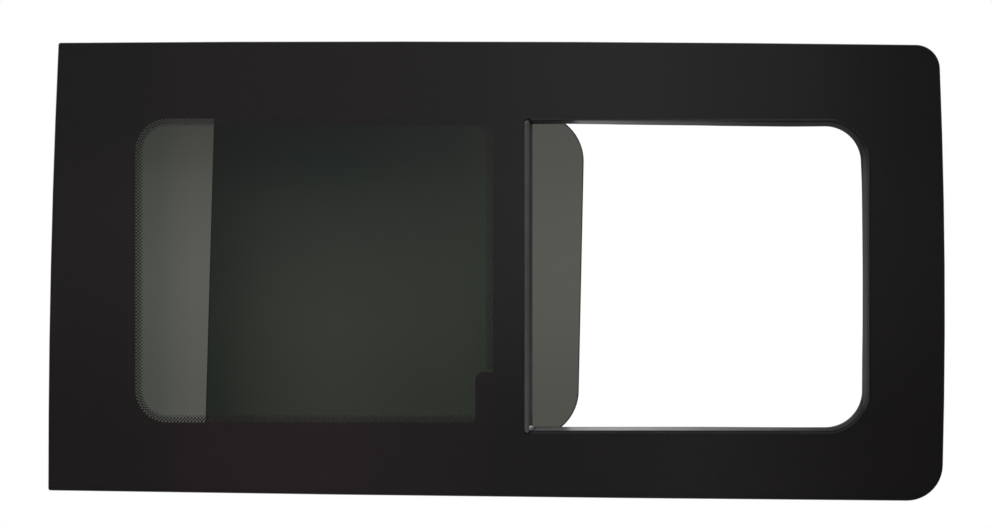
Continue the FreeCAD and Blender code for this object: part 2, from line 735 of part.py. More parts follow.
def top_guide(rear):
    """Cap over the pane's top edge."""
    if rear:
        x0 = pane_rear + PANE_LEAN_REAR / 2 + SHOE_INSET
    else:
        x0 = pane_front + PANE_LEAN_FRONT / 2 - PANE_CORNER_FRONT - SHOE_INSET - GUIDE_LENGTH
    x1 = x0 + GUIDE_LENGTH
    z0, z1 = guide_foot, guide_foot + GUIDE_HEIGHT
    profile = [(x0, z0), (x0, z1 - SHOE_RAMP), (x0 + SHOE_RAMP, z1),
               (x1 - SHOE_RAMP, z1), (x1, z1 - SHOE_RAMP), (x1, z0)]
    slot = panel(x0 - OVERCUT, x1 + OVERCUT, z0 - OVERCUT, pane_top, pane_face, pane_back)
    return sheet(outline(profile), carrier_face, carrier_back).cut(slot)


def main():
    os.makedirs("parts", exist_ok=True)
    write("outer_glass", outer_glass())
    write("bonding_border", bonding_border())
    write("window_mask", window_mask())
    write("opening_trim", opening_trim())
    write("centre_seal", centre_seal())
    write("top_rail", top_rail())
    write("bottom_rail", bottom_rail())
    write("front_jamb", front_jamb())
    write("rear_jamb", rear_jamb())
    write("top_front_bend", head_bend(channel_section(), front_x, head_z, CORNER_BEND))
    write("bottom_front_bend", sill_bend(channel_section(), front_x, sill_z, CORNER_BEND))
    write("channel_liner", channel_liner())
    write("adhesive_bed", adhesive_bed())
    write("top_rear_cleat", rear_cleat(head_z, 1))
    write("bottom_rear_cleat", rear_cleat(sill_z, -1))
    write("rail_joiners", rail_joiners())
    write("top_open_stop", open_stop(head_z, 1))
    write("bottom_open_stop", open_stop(sill_z, -1))
    write("catch_plate", catch_plate())
    write("catch_housing", catch_housing())
    write("thumb_slide", thumb_slide())
    write("catch_bolt", catch_bolt())
    write("sliding_glass", sliding_glass())
    write("pane_carrier", pane_carrier())
    write("rear_bottom_shoe", bottom_shoe(True))
    write("front_bottom_shoe", bottom_shoe(False))
    write("rear_top_guide", top_guide(True))
    write("front_top_guide", top_guide(False))
    print("slide from %.1f to %.1f mm" % (travel_open, travel_shut))


main()
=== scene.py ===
# %% [markdown]
# A van sliding window, dressed for a studio picture.
#
# The window is one printed outer pane with a hole in it, and behind it a channel frame in which a
# second tinted pane slides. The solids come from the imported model. This script gives them their
# finishes, and builds what is too fine or too soft for the solids: the rubber lips, the printed
# dots, the bead of adhesive and the screws. Everything is in metres, in the model's own frame:
# outdoors is -Y, the front of the van is +X, and up is +Z.

# %% Load the solids
import math

import bpy
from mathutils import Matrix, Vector


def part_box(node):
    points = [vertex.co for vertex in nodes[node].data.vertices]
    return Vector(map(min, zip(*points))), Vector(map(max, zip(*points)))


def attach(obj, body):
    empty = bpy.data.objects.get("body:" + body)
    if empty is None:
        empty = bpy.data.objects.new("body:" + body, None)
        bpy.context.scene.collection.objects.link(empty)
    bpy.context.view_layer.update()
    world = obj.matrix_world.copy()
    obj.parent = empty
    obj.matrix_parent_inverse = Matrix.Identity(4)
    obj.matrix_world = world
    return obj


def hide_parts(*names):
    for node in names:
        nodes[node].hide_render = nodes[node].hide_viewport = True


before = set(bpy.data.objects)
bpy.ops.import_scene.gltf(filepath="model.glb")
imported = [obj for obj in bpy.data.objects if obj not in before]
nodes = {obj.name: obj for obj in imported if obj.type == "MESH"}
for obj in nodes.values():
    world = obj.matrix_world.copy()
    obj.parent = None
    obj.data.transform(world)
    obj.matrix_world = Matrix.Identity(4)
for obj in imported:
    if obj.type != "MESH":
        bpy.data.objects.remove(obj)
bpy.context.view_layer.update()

MM = 0.001

# %% [markdown]
# The picture is taken square to the glass from far away, so its edges show no perspective. A long
# lens a few metres off does the same. One picture pixel is 1.28 mm on the glass, which fixes the
# width that the lens has to cover.

# %% Camera
PICTURE_WIDTH_PX = 992
MM_PER_PX = 1.28
CAMERA_DISTANCE = 3.2
SENSOR_WIDTH = 36.0
centre_x = 1.2 * MM
centre_z = 278.1 * MM

camera = bpy.data.cameras.new("camera")
camera.sensor_width = SENSOR_WIDTH
camera.lens = SENSOR_WIDTH * CAMERA_DISTANCE / (PICTURE_WIDTH_PX * MM_PER_PX * MM)
camera_object = bpy.data.objects.new("camera", camera)
camera_object.location = (centre_x, -CAMERA_DISTANCE, centre_z)
camera_object.rotation_euler = (math.radians(90), 0, 0)
bpy.context.scene.collection.objects.link(camera_object)
bpy.context.scene.camera = camera_object
bpy.context.scene.view_settings.view_transform = "Standard"
print("lens %.1f mm" % camera.lens)

# %% [markdown]
# A material is a tree of small nodes, and sums between them are easier to read as sums. This class
# wraps one output, so that 1 - mask or noise * 0.2 adds the Math node itself. A recipe holds one
# tree, and every other kind of node comes from its one method.

# %% Signals and recipes
class Signal:
    """One value on its way through a node tree."""

    def __init__(self, recipe, socket):
        self.recipe = recipe
        self.socket = socket

    def math(self, operation, *values):
        return self.recipe.node("ShaderNodeMath", {"operation": operation}, values)

    def __add__(self, other):
        return self.math("ADD", self, other)

    __radd__ = __add__

    def __mul__(self, other):
        return self.math("MULTIPLY", self, other)

    __rmul__ = __mul__

    def __sub__(self, other):
        return self.math("SUBTRACT", self, other)

    def __rsub__(self, other):
        return self.math("SUBTRACT", other, self)

    def __abs__(self):
        return self.math("ABSOLUTE", self)

    def between(self, low, high):
        """0 below low, 1 above high, and a soft step between them."""
        settings = {"interpolation_type": "SMOOTHSTEP"}
        return self.recipe.node("ShaderNodeMapRange", settings, [self, low, high, 0.0, 1.0])

    def larger(self, other):
        return self.math("MAXIMUM", self, other)


class Recipe:
    """A node tree, and the one way to add to it."""

    def __init__(self, owner):
        self.owner = owner
        owner.use_nodes = True
        self.tree = owner.node_tree

    def node(self, kind, settings=None, inputs=(), output=0):
        made = self.tree.nodes.new(kind)
        for name, value in (settings or {}).items():
            setattr(made, name, value)
        pairs = inputs.items() if isinstance(inputs, dict) else enumerate(inputs)
        for key, value in pairs:
            self.feed(made.inputs[key], value)
        return Signal(self, made.outputs[output])

    def feed(self, socket, value):
        if isinstance(value, Signal):
            self.tree.links.new(value.socket, socket)
        else:
            socket.default_value = value

    def place(self, axis=None):
        """A point of the piece in metres, or one of its three numbers."""
        point = self.node("ShaderNodeTexCoord", output="Object")
        return point if axis is None else self.node("ShaderNodeSeparateXYZ", inputs=[point], output=axis)

    def grain(self, size, detail=2.0, stretch=(1.0, 1.0, 1.0)):
        """Noise with blobs about size millimetres across, longer along a stretched axis."""
        scale = tuple(1.0 / (size * MM * along) for along in stretch)
        spot = self.node("ShaderNodeMapping", inputs={"Vector": self.place(), "Scale": scale})
        return self.node("ShaderNodeTexNoise", inputs={"Vector": spot, "Scale": 1.0, "Detail": detail})

    def curve(self, value, stops):
        """A soft curve through (place, level) stops, with levels from 0 to 1."""
        low, high = stops[0][0], stops[-1][0]
        share = self.node("ShaderNodeMapRange", {}, [value, low, high, 0.0, 1.0])
        bent = self.node("ShaderNodeFloatCurve", {}, {"Value": share})
        line = bent.socket.node.mapping
        points = line.curves[0].points
        points[0].location = (0.0, stops[0][1])
        points[-1].location = (1.0, stops[-1][1])
        for place, level in stops[1:-1]:
            points.new((place - low) / (high - low), level)
        line.update()
        return bent

    def mix(self, share, first, second):
        """Colour first where share is 0, and second where it is 1."""
        return self.node("ShaderNodeMix", {"data_type": "RGBA"}, {0: share, 6: first, 7: second}, output=2)

    def bump(self, height, depth, strength=1.0):
        """Normal of a surface whose height runs over depth millimetres."""
        inputs = {"Strength": strength, "Distance": depth * MM, "Height": height}
        return self.node("ShaderNodeBump", inputs=inputs)

    def finish(self, **values):
        """Set the surface's own sockets; a name's underscores stand for spaces."""
        shader = self.tree.nodes["Principled BSDF"]
        for name, value in values.items():
            self.feed(shader.inputs[name.replace("_", " ")], value)
        return Signal(self, shader.outputs[0])


def new_material(name):
    return Recipe(bpy.data.materials.new(name))


def grey(level, warm=0.0):
    """A grey, a little warmer or cooler."""
    return (level * (1 + warm), level, level * (1 - warm), 1.0)


print("helpers ready")

# %% [markdown]
# The backdrop is plain white, as round a cut-out photograph. The glass in that photograph was taken
# in front of something grey, so rays that have passed through glass see a quiet grey instead. All
# others see the studio itself: a bright ceiling, a lighter left side, a white sweep behind the window
# and a dim end behind the camera. The black print mirrors that dim end. Its soft fall is drawn as two
# rows, one above the other, each a curve from left to right, and a third curve goes from the lower
# row to the upper one.

# %% Backdrop
WHITE = 1.0
world = bpy.data.worlds.new("studio")
bpy.context.scene.world = world
room = Recipe(world)
direction = room.node("ShaderNodeTexCoord", output="Generated")
east, north, up = (room.node("ShaderNodeSeparateXYZ", inputs=[direction], output=i) for i in range(3))

UPPER_ROW = [(-0.40, 0.31), (-0.106, 0.32), (-0.018, 0.41), (0.022, 0.505), (0.052, 0.52), (0.082, 0.46),
             (0.122, 0.365), (0.154, 0.235), (0.175, 0.195), (0.30, 0.18)]
LOWER_ROW = [(-0.40, 0.18), (-0.106, 0.20), (-0.066, 0.225), (0.05, 0.247), (0.072, 0.27), (0.102, 0.225),
             (0.138, 0.148), (0.170, 0.115), (0.30, 0.10)]
RISE = [(-0.40, 0.0), (-0.078, 0.0), (-0.054, 0.14), (-0.038, 0.34), (-0.006, 0.74), (0.026, 0.95),
        (0.064, 1.0), (0.30, 1.0)]
lower, upper = room.curve(east, LOWER_ROW), room.curve(east, UPPER_ROW)
dim_end = lower + (upper - lower) * room.curve(up, RISE)
CEILING, LEFT_SIDE, SWEEP_BEHIND = 1.1, 0.25, 0.35
ceiling = up.between(0.15, 0.85) * CEILING
left_side = east.between(-0.25, -0.90) * LEFT_SIDE
sweep_behind = north.between(0.10, 0.80) * SWEEP_BEHIND
studio = dim_end + ceiling + left_side + sweep_behind

BEHIND_GLASS = [(-0.30, 0.22), (-0.054, 0.285), (-0.013, 0.315), (0.02, 0.295), (0.045, 0.26), (0.30, 0.2)]
behind_glass = room.curve(up, BEHIND_GLASS)
seen = {kind: room.node("ShaderNodeLightPath", output="Is %s Ray" % kind)
        for kind in ("Camera", "Transmission")}
through = seen["Transmission"] * (1 - seen["Camera"])
strength = (seen["Camera"] * WHITE + through * behind_glass
            + (1 - seen["Camera"]) * (1 - seen["Transmission"]) * studio)
room.feed(world.node_tree.nodes["Background"].inputs["Strength"], strength)
world.node_tree.nodes["Background"].inputs["Color"].default_value = (1.0, 1.0, 1.0, 1.0)
print("backdrop nodes:", len(world.node_tree.nodes))

# %% [markdown]
# Three wide soft lamps do the rest: one high on the left for the shape of the rubber lips, one on
# the right to fill, and one behind for the side that faces into the van. They stand where the flat
# glass doesn't mirror them into the camera. The floor lies below the picture and fades out, so only
# views from other sides show it.

# %% Lamps and floor
LAMPS = [
    ("key", (-1.7, -2.0, 2.3), 1.5, 30.0),
    ("fill", (2.3, -1.6, 1.1), 1.4, 8.0),
    ("indoors", (-0.3, 1.6, 1.3), 1.0, 14.0),
]
AIM = Vector((0.0, 0.0, 0.27))
for name, spot, size, power in LAMPS:
    lamp = bpy.data.lights.new(name, "AREA")
    lamp.size = size
    lamp.energy = power
    holder = bpy.data.objects.new(name, lamp)
    holder.location = spot
    holder.visible_camera = False
    holder.visible_transmission = False
    holder.rotation_euler = (AIM - Vector(spot)).to_track_quat("-Z", "Y").to_euler()
    bpy.context.scene.collection.objects.link(holder)

FLOOR_LEVEL = -0.32
FLOOR_RADIUS = 1.6
FADE_START, FADE_END = 0.55, 0.98  # shares of the radius
floor_mesh = bpy.data.meshes.new("floor")
ring = [(FLOOR_RADIUS * math.cos(a), FLOOR_RADIUS * math.sin(a), FLOOR_LEVEL)
        for a in (math.radians(6 * i) for i in range(60))]
floor_mesh.from_pydata(ring, [], [tuple(range(60))])
floor = bpy.data.objects.new("floor", floor_mesh)
bpy.context.scene.collection.objects.link(floor)
pale = new_material("pale_floor")
surface = pale.finish(Base_Color=grey(0.82), Roughness=0.9)
distance = pale.node("ShaderNodeVectorMath", {"operation": "LENGTH"}, [pale.place()], output="Value")
clear = pale.node("ShaderNodeBsdfTransparent")
edge = distance.between(FLOOR_RADIUS * FADE_START, FLOOR_RADIUS * FADE_END)
blended = pale.node("ShaderNodeMixShader", inputs=[edge, surface, clear])
pale.feed(pale.tree.nodes["Material Output"].inputs["Surface"], blended)
floor_mesh.materials.append(pale.owner)
print("lamps:", len(LAMPS))

# %% [markdown]
# Privacy glass is tinted in the mass, and light is dimmed twice, once at each face. The colour of a
# transmitting surface does that here. Toughened glass is never quite flat, so a long, very shallow
# wave in its normal makes reflections swim a little from the side. The view behind the glass is
# darker high up and to the rear, and the tint carries that as painted shade, on curves of a few
# levels. The ground rim is matt, and it is found by its direction: it doesn't face straight in or out.

# %% Glass
sill_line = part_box("bottom_rail")[1].z
head_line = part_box("top_rail")[0].z
BARE_FROM, BARE_TO = 0.012, 0.045  # the pane stands alone past here, in metres along the van
HEAD_SHADE_LOW, HEAD_SHADE_HIGH = 13 * MM, 5 * MM  # below the head, under the top rail's shade
HEAD_SHADE = 0.012
RIM_SLANT, FACE_SLANT = 0.90, 0.97  # how squarely the ground rim and the face look out


def tinted_glass(name, colours, shade_up, shade_along, across, rim, bare=None):
    """Glass of three tints: plain, shaded where both shade curves are high, and multiplied by the third
    where the across curve falls to 0; the shaded tint and the third are painted shade. A bare tint
    takes over where the pane stands alone. The shade and the bare tint keep their place in space when
    the pane slides."""
    recipe = new_material(name)
    spot = recipe.node("ShaderNodeNewGeometry", output="Position")
    room_x, z = (recipe.node("ShaderNodeSeparateXYZ", inputs=[spot], output=axis) for axis in ("X", "Z"))
    x = recipe.place("X")
    plain, shaded, edge = colours
    # painted shade, darker high up and to the rear, fixed in space
    shade = recipe.curve(z, shade_up) * recipe.curve(room_x, shade_along)
    darker = [tuple(c * d for c, d in zip(colour, edge)) for colour in (plain, shaded)]
    # where the curve across the pane falls, the third tint multiplies in painted shade towards the rear
    tint = recipe.mix(recipe.curve(x, across), recipe.mix(shade, *darker), recipe.mix(shade, plain, shaded))
    if bare:
        painted_at_head = z.between(head_line - HEAD_SHADE_LOW, head_line - HEAD_SHADE_HIGH)
        tint = recipe.mix(painted_at_head, tint, grey(HEAD_SHADE))
        tint = recipe.mix(room_x.between(BARE_FROM, BARE_TO), tint, bare)
    wave = recipe.grain(140.0, detail=1.0, stretch=(1.0, 1.0, 3.0))
    clear = recipe.finish(Base_Color=tint, Roughness=0.0, IOR=1.5, Transmission_Weight=1.0,
                          Normal=recipe.bump(wave, 0.4, 0.25))
    facing = recipe.node("ShaderNodeNewGeometry", output="True Normal")
    towards = abs(recipe.node("ShaderNodeSeparateXYZ", inputs=[facing], output="Y"))
    grit = recipe.grain(0.25)
    ground = recipe.node("ShaderNodeBsdfPrincipled", inputs={
        "Base Color": rim, "Roughness": 0.35, "Normal": recipe.bump(grit, 0.02)})
    face_on = towards.between(RIM_SLANT, FACE_SLANT)
    mixed = recipe.node("ShaderNodeMixShader", inputs=[face_on, ground, clear])
    recipe.feed(recipe.tree.nodes["Material Output"].inputs["Surface"], mixed)
    return recipe.owner


def dress(material, *names):
    """Give CAD nodes a finish: each has one material slot."""
    for name in names:
        nodes[name].material_slots[0].material = material


print("channel's daylight from z %.4f to %.4f" % (sill_line, head_line))

# %% [markdown]
# Each pane gets three tints and its curves, lists of (place in metres, level) with a soft line drawn
# through them. The second tint and the shade curves paint shade high up and to the rear, and the
# third tint with the across curve paints more shade towards the rear. The sliding pane is seen
# through the outer one at the rear and stands alone in the vent, where its bare tint takes over.

# %% Tints of the two panes
# plain, painted shade, and a multiplier of painted shade towards the rear
TINTS = [(0.303, 0.306, 0.269, 1.0), (0.193, 0.197, 0.169, 1.0), (0.30, 0.45, 0.35, 1.0)]
SHADE_UP = [(0.275, 0.0), (0.310, 0.07), (0.360, 0.22), (0.392, 0.40), (0.417, 0.70), (0.437, 0.86),
            (0.455, 1.0), (0.465, 1.0)]
TINT_SHADE_ACROSS = [(-0.460, 0.50), (-0.441, 0.60), (-0.429, 0.65), (-0.410, 0.84), (-0.397, 0.92), (-0.380, 1.0),
               (-0.250, 1.0), (-0.134, 0.76), (-0.057, 0.58), (-0.018, 0.36), (0.010, 0.25)]
PANE_TINTS = [(0.328, 0.359, 0.291, 1.0), (0.004, 0.084, 0.074, 1.0), (0.10, 0.234, 0.181, 1.0)]
PANE_SHADE_UP = [(0.150, 0.0), (0.200, 0.03), (0.250, 0.18), (0.300, 0.36), (0.340, 0.466), (0.380, 0.684),
                 (0.410, 0.90), (0.440, 1.0), (0.465, 1.0)]
PANE_SHADE_ALONG = [(-0.36, 1.0), (-0.24, 1.0), (-0.18, 0.95), (-0.11, 0.76), (-0.05, 0.68), (-0.02, 0.42),
                    (0.010, 0.20), (0.050, 0.05)]
PANE_SHADE_ACROSS = [(-0.372, 0.057), (-0.345, 0.211), (-0.310, 0.47), (-0.280, 0.666), (-0.240, 0.785),
               (-0.190, 0.891), (-0.130, 0.903), (-0.080, 0.89), (-0.030, 1.0), (0.114, 1.0)]
BARE_TINT = (0.255, 0.264, 0.222, 1.0)
ALL_ALONG = [(-0.5, 1.0), (0.5, 1.0)]
dress(tinted_glass("outer_glass", TINTS, SHADE_UP, ALL_ALONG, TINT_SHADE_ACROSS, grey(0.05)), "outer_glass")
dress(tinted_glass("pane_glass", PANE_TINTS, PANE_SHADE_UP, PANE_SHADE_ALONG, PANE_SHADE_ACROSS, grey(0.012),
                   BARE_TINT), "sliding_glass")
print("tint darkens from z %.3f" % SHADE_UP[0][0])

# %% [markdown]
# The black border is ceramic ink, fired on to the inner face of the glass, where it fuses with it.
# So each print solid is copied, and the copy's front goes a hair into the glass and gets a material
# of its own: a flat warm black with no shine, because there is no air between ink and glass, and the
# glass in front of it does the shining. Its back is what one sees from indoors: a satin black with
# the faint mottle of screen printing.

# %% Fired print
def ink_in_glass():
    recipe = new_material("ink_in_glass")
    mottle = recipe.grain(7.0, detail=4.0)
    cloud = recipe.grain(90.0, detail=2.0)
    thin = recipe.mix(cloud, (0.102, 0.064, 0.085, 1.0), (0.112, 0.070, 0.093, 1.0))
    full = recipe.mix(cloud, (0.109, 0.068, 0.090, 1.0), (0.119, 0.075, 0.098, 1.0))
    recipe.finish(Base_Color=recipe.mix(mottle.between(0.3, 0.7), thin, full), Roughness=0.9 - 0.1 * mottle,
                  Specular_IOR_Level=0.0)
    return recipe.owner


def fired_print():
    recipe = new_material("fired_print")
    mottle = recipe.grain(6.0, detail=4.0)
    speck = recipe.grain(0.35)
    recipe.finish(Base_Color=recipe.mix(mottle.between(0.3, 0.7), grey(0.010, 0.06), grey(0.016, 0.06)),
                  Roughness=0.34 + 0.14 * mottle, Normal=recipe.bump(speck, 0.012))
    return recipe.owner


def new_piece(name, vertices, faces, material, body, smooth=False):
    """A mesh that rides on a body and takes its finish from a slot."""
    mesh = bpy.data.meshes.new(name)
    mesh.from_pydata(vertices, [], faces)
    mesh.materials.append(material)
    if smooth:
        mesh.shade_smooth()
    made = bpy.data.objects.new(name, mesh)
    bpy.context.scene.collection.objects.link(made)
    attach(made, body)
    return made


INK_BITE = 0.03 * MM
ink, print_black = ink_in_glass(), fired_print()
ink_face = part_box("window_mask")[0].y
for name, node in (("border_ink", "bonding_border"), ("mask_ink", "window_mask")):
    solid = nodes[node].data
    spots = [(v.co.x, v.co.y - INK_BITE * (v.co.y < ink_face + INK_BITE), v.co.z) for v in solid.vertices]
    printed = new_piece(name, spots, [tuple(face.vertices) for face in solid.polygons], print_black,
                        "frame")
    printed.data.materials.append(ink)
    for face in printed.data.polygons:
        face.material_index = int(face.center.y < ink_face)
    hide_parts(node)
    print(name, len(printed.data.polygons), "faces")

# %% [markdown]
# Screen printers soften the edge of the black with a band of dots that shrink towards the clear
# glass, so that the edge doesn't crack in the oven and doesn't look hard. They are real geometry
# here, and they follow the outline of the fixed window, which is measured first. It is a rectangle
# with round corners, large at the rear, and with a step at its foot that hides the catch.

# %% Outline of the fixed window
rear_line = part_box("rear_jamb")[1].x
trim_low, trim_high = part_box("opening_trim")
TRIM_REACH = 13 * MM  # the trim's flange, outside its clear edge
vent_rear, vent_front = trim_low.x, trim_high.x - TRIM_REACH
vent_sill, vent_head = trim_low.z + TRIM_REACH, trim_high.z - TRIM_REACH

VIEW_REAR_INSET, VIEW_HEAD_INSET, VIEW_SILL_INSET = 3.9 * MM, 1.0 * MM, 9.5 * MM
STRIP_WIDTH = 50.2 * MM  # black between the fixed window and the vent's clear edge
STEP_WIDTH, STEP_HEIGHT = 22.4 * MM, 64.6 * MM  # the step that hides the catch
view_rear = rear_line + VIEW_REAR_INSET
view_front = vent_rear - STRIP_WIDTH
view_head = head_line - VIEW_HEAD_INSET
view_sill = sill_line + VIEW_SILL_INSET
step_x = view_front - STEP_WIDTH
step_z = view_sill + STEP_HEIGHT
REAR_ROUND = 41 * MM
FRONT_ROUND = 27 * MM
print("fixed window from x %.4f to %.4f, z %.4f to %.4f" % (view_rear, view_front, view_sill, view_head))

# %% [markdown]
# The band has rows of small flat discs, each row a little further in, with smaller dots, and shifted
# by half a step. It is walked in stretches, straight or round, from the step in the print along the
# bottom, up the rear, along the top and down the front. Every row has as many dots in a stretch as
# the first one, so that the rows stay in step round the corners.

# %% Dot band
DOT_PITCH = 4.4 * MM
FIRST_ROW = 1.3 * MM
ROW_STEP = 2.3 * MM
DOT_SIZES = [1.42 * MM, 1.42 * MM, 1.3 * MM, 0.9 * MM]  # radius in each row
DOT_DEPTH = ink_face - INK_BITE
DOT_SIDES = 8


def band_walk(inset):
    """The stretches of one row: ("line", start, direction, length) or ("turn", hub, radius, angles)."""
    left, right = view_rear + inset, view_front - inset
    low, high = view_sill + inset, view_head - inset
    big, small = REAR_ROUND - inset, FRONT_ROUND - inset
    return [
        ("line", (step_x - FIRST_ROW, low), (-1, 0), step_x - FIRST_ROW - left - big),
        ("turn", (left + big, low + big), big, (270, 180)),
        ("line", (left, low + big), (0, 1), high - low - 2 * big),
        ("turn", (left + big, high - big), big, (180, 90)),
        ("line", (left + big, high), (1, 0), right - left - big - small),
        ("turn", (right - small, high - small), small, (90, 0)),
        ("line", (right, high - small), (0, -1), high - small - step_z - FIRST_ROW),
    ]


def along(stretch, distance):
    """The point that far along one stretch."""
    if stretch[0] == "line":
        _, start, way, _ = stretch
        return start[0] + way[0] * distance, start[1] + way[1] * distance
    _, hub, radius, (first, last) = stretch
    angle = math.radians(first) + math.copysign(distance / radius, last - first)
    return hub[0] + radius * math.cos(angle), hub[1] + radius * math.sin(angle)


def length_of(stretch):
    return stretch[3] if stretch[0] == "line" else stretch[2] * math.pi / 2


dots_in = [round(length_of(stretch) / DOT_PITCH) for stretch in band_walk(FIRST_ROW)]
vertices, faces = [], []
for row, radius in enumerate(DOT_SIZES):
    for stretch, count in zip(band_walk(FIRST_ROW + row * ROW_STEP), dots_in):
        for i in range(count):
            x, z = along(stretch, length_of(stretch) * (i + 0.5 * (row % 2)) / count)
            first = len(vertices)
            for side in range(DOT_SIDES):
                angle = 2 * math.pi * side / DOT_SIDES
                vertices.append((x + radius * math.cos(angle), DOT_DEPTH, z + radius * math.sin(angle)))
            faces.append(tuple(range(first, first + DOT_SIDES)))
new_piece("dot_band", vertices, faces, ink, "frame")
print("dots:", len(faces))

# %% [markdown]
# The rubber lips are extrusions: one section, swept along the edge of the hole. A moulder would
# draw the section first, so it is a short list of points here, across the lip and through its
# depth, and stations along the edge say where it goes. Old rubber is nearly black, and soft in its
# shine. A pale strip of painted light lies on the flat bevel of the head and the sill, strongest
# next to the pane's free edge and gone towards the front, with a fainter one down the front end.
# Each is a strip along the clear edge, as strong as its curve says.

# %% Rubber
LIP_FLOCK, BEAD_FLOCK = 1.2 * MM, 5.0 * MM  # flocked from that depth on, where the pane rubs
# Painted light on the lip's bevels: how strong each strip is along the head, the sill and the front end
HEAD_PAINTED_LIGHT = [(0.085, 0.0), (0.098, 0.10), (0.112, 0.62), (0.124, 0.60), (0.160, 0.44), (0.211, 0.26),
              (0.262, 0.16), (0.313, 0.06), (0.365, 0.0)]
SILL_PAINTED_LIGHT = [(0.050, 0.18), (0.086, 0.20), (0.100, 0.85), (0.134, 0.95), (0.186, 0.85), (0.237, 0.66),
              (0.288, 0.42), (0.352, 0.22), (0.403, 0.05), (0.430, 0.0)]
FRONT_PAINTED_LIGHT = [(0.090, 0.0), (0.110, 0.09), (0.165, 0.13), (0.330, 0.13), (0.395, 0.10), (0.430, 0.0)]
PAINTED_LIGHT_IN, PAINTED_LIGHT_SOFT = -0.4 * MM, 0.6 * MM  # the strip's inner edge, from the clear edge, and its fade
HEAD_PAINTED_LIGHT_OUT, SILL_PAINTED_LIGHT_OUT, FRONT_PAINTED_LIGHT_OUT = 6.4 * MM, 3.2 * MM, 6.2 * MM
CROWN_FROM, CROWN_TO = 6.2 * MM, 6.6 * MM  # a painted highlight on the head's outer bead
CROWN_PAINTED_HIGHLIGHT = 0.042
PAINTED_LIGHT_GREY = (0.285, 0.290, 0.300, 1.0)


def painted_light_strip(recipe, place, out, level, fade=1.6 * MM):
    """The painted light on one side of the opening: a strip from the clear edge out, level strong."""
    return place.between(PAINTED_LIGHT_IN, PAINTED_LIGHT_IN + PAINTED_LIGHT_SOFT) * (1 - place.between(out, out + fade)) * level


def soft_rubber(name, low, high, shine, flock_from, with_painted_light=False):
    recipe = new_material(name)
    skin = recipe.grain(0.5, detail=3.0)
    dust = recipe.grain(18.0, detail=5.0)
    shade = recipe.mix(dust.between(0.35, 0.75), low, high)
    worn = 0.36 + 0.16 * dust
    if with_painted_light:
        x, z = recipe.place("X"), recipe.place("Z")
        painted_at_head = painted_light_strip(recipe, z - vent_head, HEAD_PAINTED_LIGHT_OUT, recipe.curve(x, HEAD_PAINTED_LIGHT), MM)
        painted_at_sill = painted_light_strip(recipe, vent_sill - z, SILL_PAINTED_LIGHT_OUT, recipe.curve(x, SILL_PAINTED_LIGHT))
        painted_at_front = painted_light_strip(recipe, x - vent_front, FRONT_PAINTED_LIGHT_OUT, recipe.curve(z, FRONT_PAINTED_LIGHT))
        # a painted highlight along the head's outer bead
        crown = (z - vent_head).between(CROWN_FROM, CROWN_TO) * CROWN_PAINTED_HIGHLIGHT
        streak = recipe.grain(1.6, detail=4.0, stretch=(9.0, 1.0, 1.0))
        # painted light: the bevel strips and the crown's painted highlight, streaked, mixed into the grey
        painted_light = (painted_at_head + painted_at_sill + painted_at_front + crown) * (0.80 + 0.40 * streak)
        shade = recipe.mix(painted_light, shade, PAINTED_LIGHT_GREY)
        worn = worn + 0.3 * painted_light
    flocked = recipe.place("Y").between(flock_from, flock_from + MM)
    recipe.finish(Base_Color=recipe.mix(flocked, shade, grey(0.003)), Specular_IOR_Level=shine,
                  Roughness=worn.larger(flocked), Normal=recipe.bump(skin, 0.03, 0.6))
    return recipe.owner


bead_rubber = soft_rubber("bead_rubber", (0.036, 0.033, 0.037, 1.0), (0.046, 0.042, 0.047, 1.0), 0.5,
                          BEAD_FLOCK)
lip_rubber = soft_rubber("lip_rubber", (0.0078, 0.0068, 0.0078, 1.0), (0.0120, 0.0105, 0.0120, 1.0), 0.2,
                         LIP_FLOCK, with_painted_light=True)
print("rubbers:", bead_rubber.name, lip_rubber.name)

# %% [markdown]
# An extrusion is one outline repeated at many stations. The sweep below does what a curve with a
# bevel object would, but each station may also pinch or shift the section, which lets the lip wander
# and the bead's ends grow round.

# %% Sweep
def sweep(stations, section):
    """Vertices and faces of a closed section (across, depth) carried along (point, outward, pinch)."""
    vertices, faces = [], []
    count = len(section)
    for (x, z), (out_x, out_z), pinch in stations:
        for across, depth in section:
            u, y = pinch(across * MM, depth * MM)
            vertices.append((x + out_x * u, y, z + out_z * u))
    for ring in range(len(stations) - 1):
        for i in range(count):
            j = (i + 1) % count
            a, b = ring * count, (ring + 1) * count
            faces.append((a + i, a + j, b + j, b + i))
    faces.append(tuple(range(count - 1, -1, -1)))
    last = (len(stations) - 1) * count
    faces.append(tuple(range(last, last + count)))
    return vertices, faces


print("sweep ready")

# %% [markdown]
# The lip has three parts across: a thin outer bead that sits proud of the glass, a narrow groove,
# and the broad bevel down to the clear edge. It was pushed into the hole by hand, so its clear edge
# wanders a little: it is pressed back near the rear end of the head, and bows in at the corners.
# The drift along each side is a short list of places in metres and millimetres outwards.

